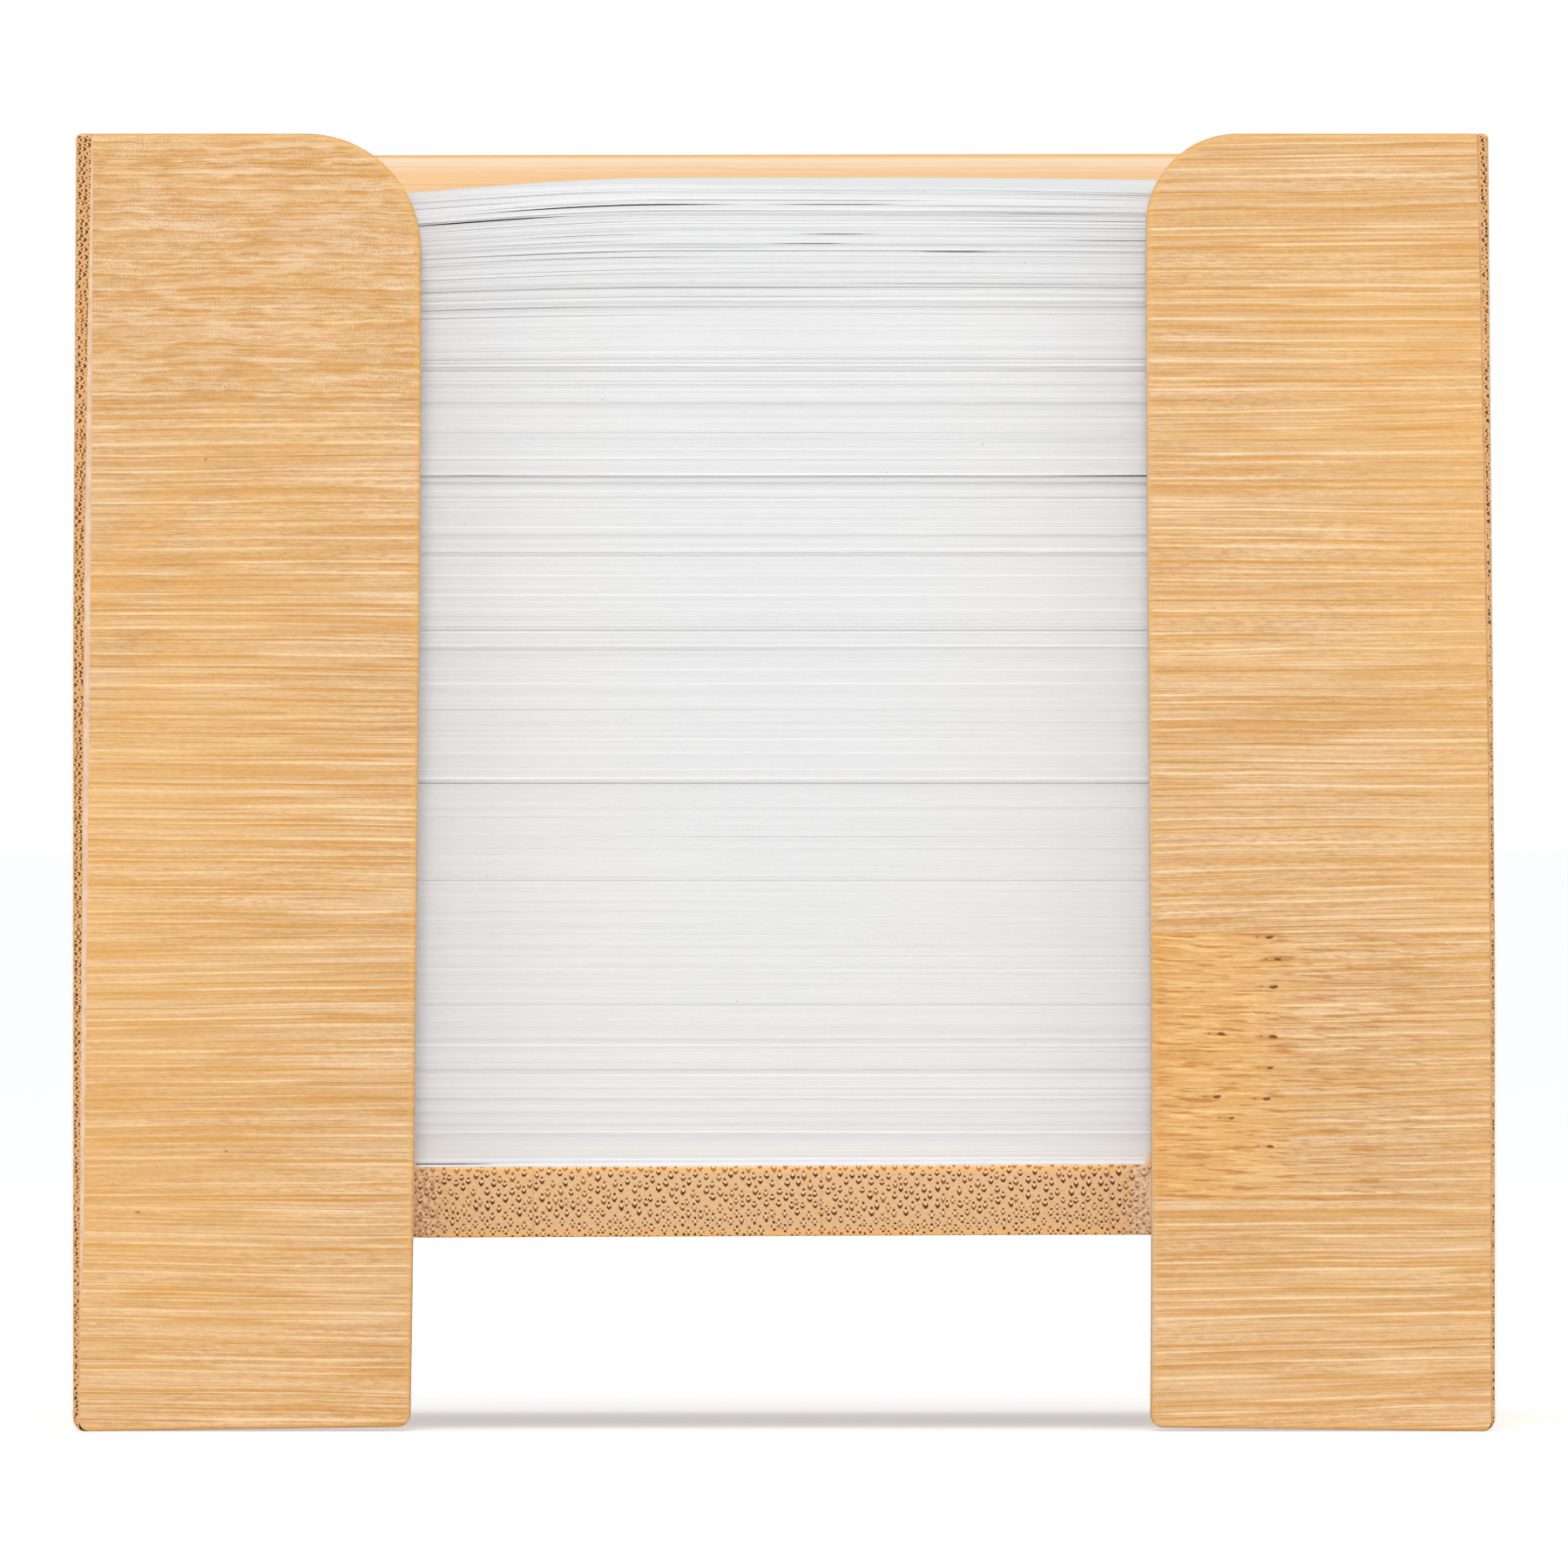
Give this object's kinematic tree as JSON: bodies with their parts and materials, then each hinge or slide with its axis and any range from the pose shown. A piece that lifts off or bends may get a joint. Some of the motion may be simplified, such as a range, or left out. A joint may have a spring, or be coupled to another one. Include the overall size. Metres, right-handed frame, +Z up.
{
  "type": "memo box",
  "caption": "Open bamboo desk box on short legs, filled with loose square memo sheets, with a finger opening between two rounded front cheeks.",
  "frame": {"origin": "on the table, under the middle of the box", "axes": "+Z up, -Y out of the front with the finger opening, +X to the right as seen from the front"},
  "size_m": [0.103, 0.103, 0.094],
  "materials": {
    "bamboo": "sanded bamboo with a thin satin lacquer",
    "bamboo_end_grain": "sawn and sanded bamboo end grain",
    "memo_paper": "uncoated white paper, guillotine cut"
  },
  "bodies": {
    "box": {"left_side_panel": "bamboo", "right_side_panel": "bamboo", "left_front_cheek": "bamboo", "right_front_cheek": "bamboo", "back_panel": "bamboo", "base_board": "bamboo_end_grain"},
    "paper_stack": {"sheets_01": "memo_paper", "sheets_02": "memo_paper", "sheets_03": "memo_paper", "sheets_04": "memo_paper", "sheets_05": "memo_paper", "sheets_06": "memo_paper", "sheets_07": "memo_paper", "sheets_08": "memo_paper", "sheets_09": "memo_paper", "sheets_10": "memo_paper", "sheets_11": "memo_paper", "sheets_12": "memo_paper", "sheets_13": "memo_paper", "sheets_14": "memo_paper", "sheets_15": "memo_paper", "sheets_16": "memo_paper"},
    "upper_sheets": {"upper_sheets_1": "memo_paper", "upper_sheets_2": "memo_paper", "upper_sheets_3": "memo_paper", "upper_sheets_4": "memo_paper", "upper_sheets_5": "memo_paper", "upper_sheets_6": "memo_paper", "upper_sheets_7": "memo_paper"},
    "loose_sheets": {"loose_sheets_1": "memo_paper", "loose_sheets_2": "memo_paper", "loose_sheets_3": "memo_paper", "loose_sheets_4": "memo_paper", "loose_sheets_5": "memo_paper"},
    "top_sheet": {"top_sheet": "memo_paper"}
  },
  "joints": [
    {"name": "paper_stack_lift", "type": "slide", "parent": "box", "child": "paper_stack", "axis": [0, 0, 1], "range_m": [0, 0.08]},
    {"name": "upper_sheets_lift", "type": "slide", "parent": "paper_stack", "child": "upper_sheets", "axis": [0, 0, 1], "range_m": [0, 0.04]},
    {"name": "loose_sheets_lift", "type": "slide", "parent": "upper_sheets", "child": "loose_sheets", "axis": [0, 0, 1], "range_m": [0, 0.03]},
    {"name": "top_sheet_lift", "type": "slide", "parent": "loose_sheets", "child": "top_sheet", "axis": [0, 0, 1], "range_m": [0, 0.03]}
  ]
}
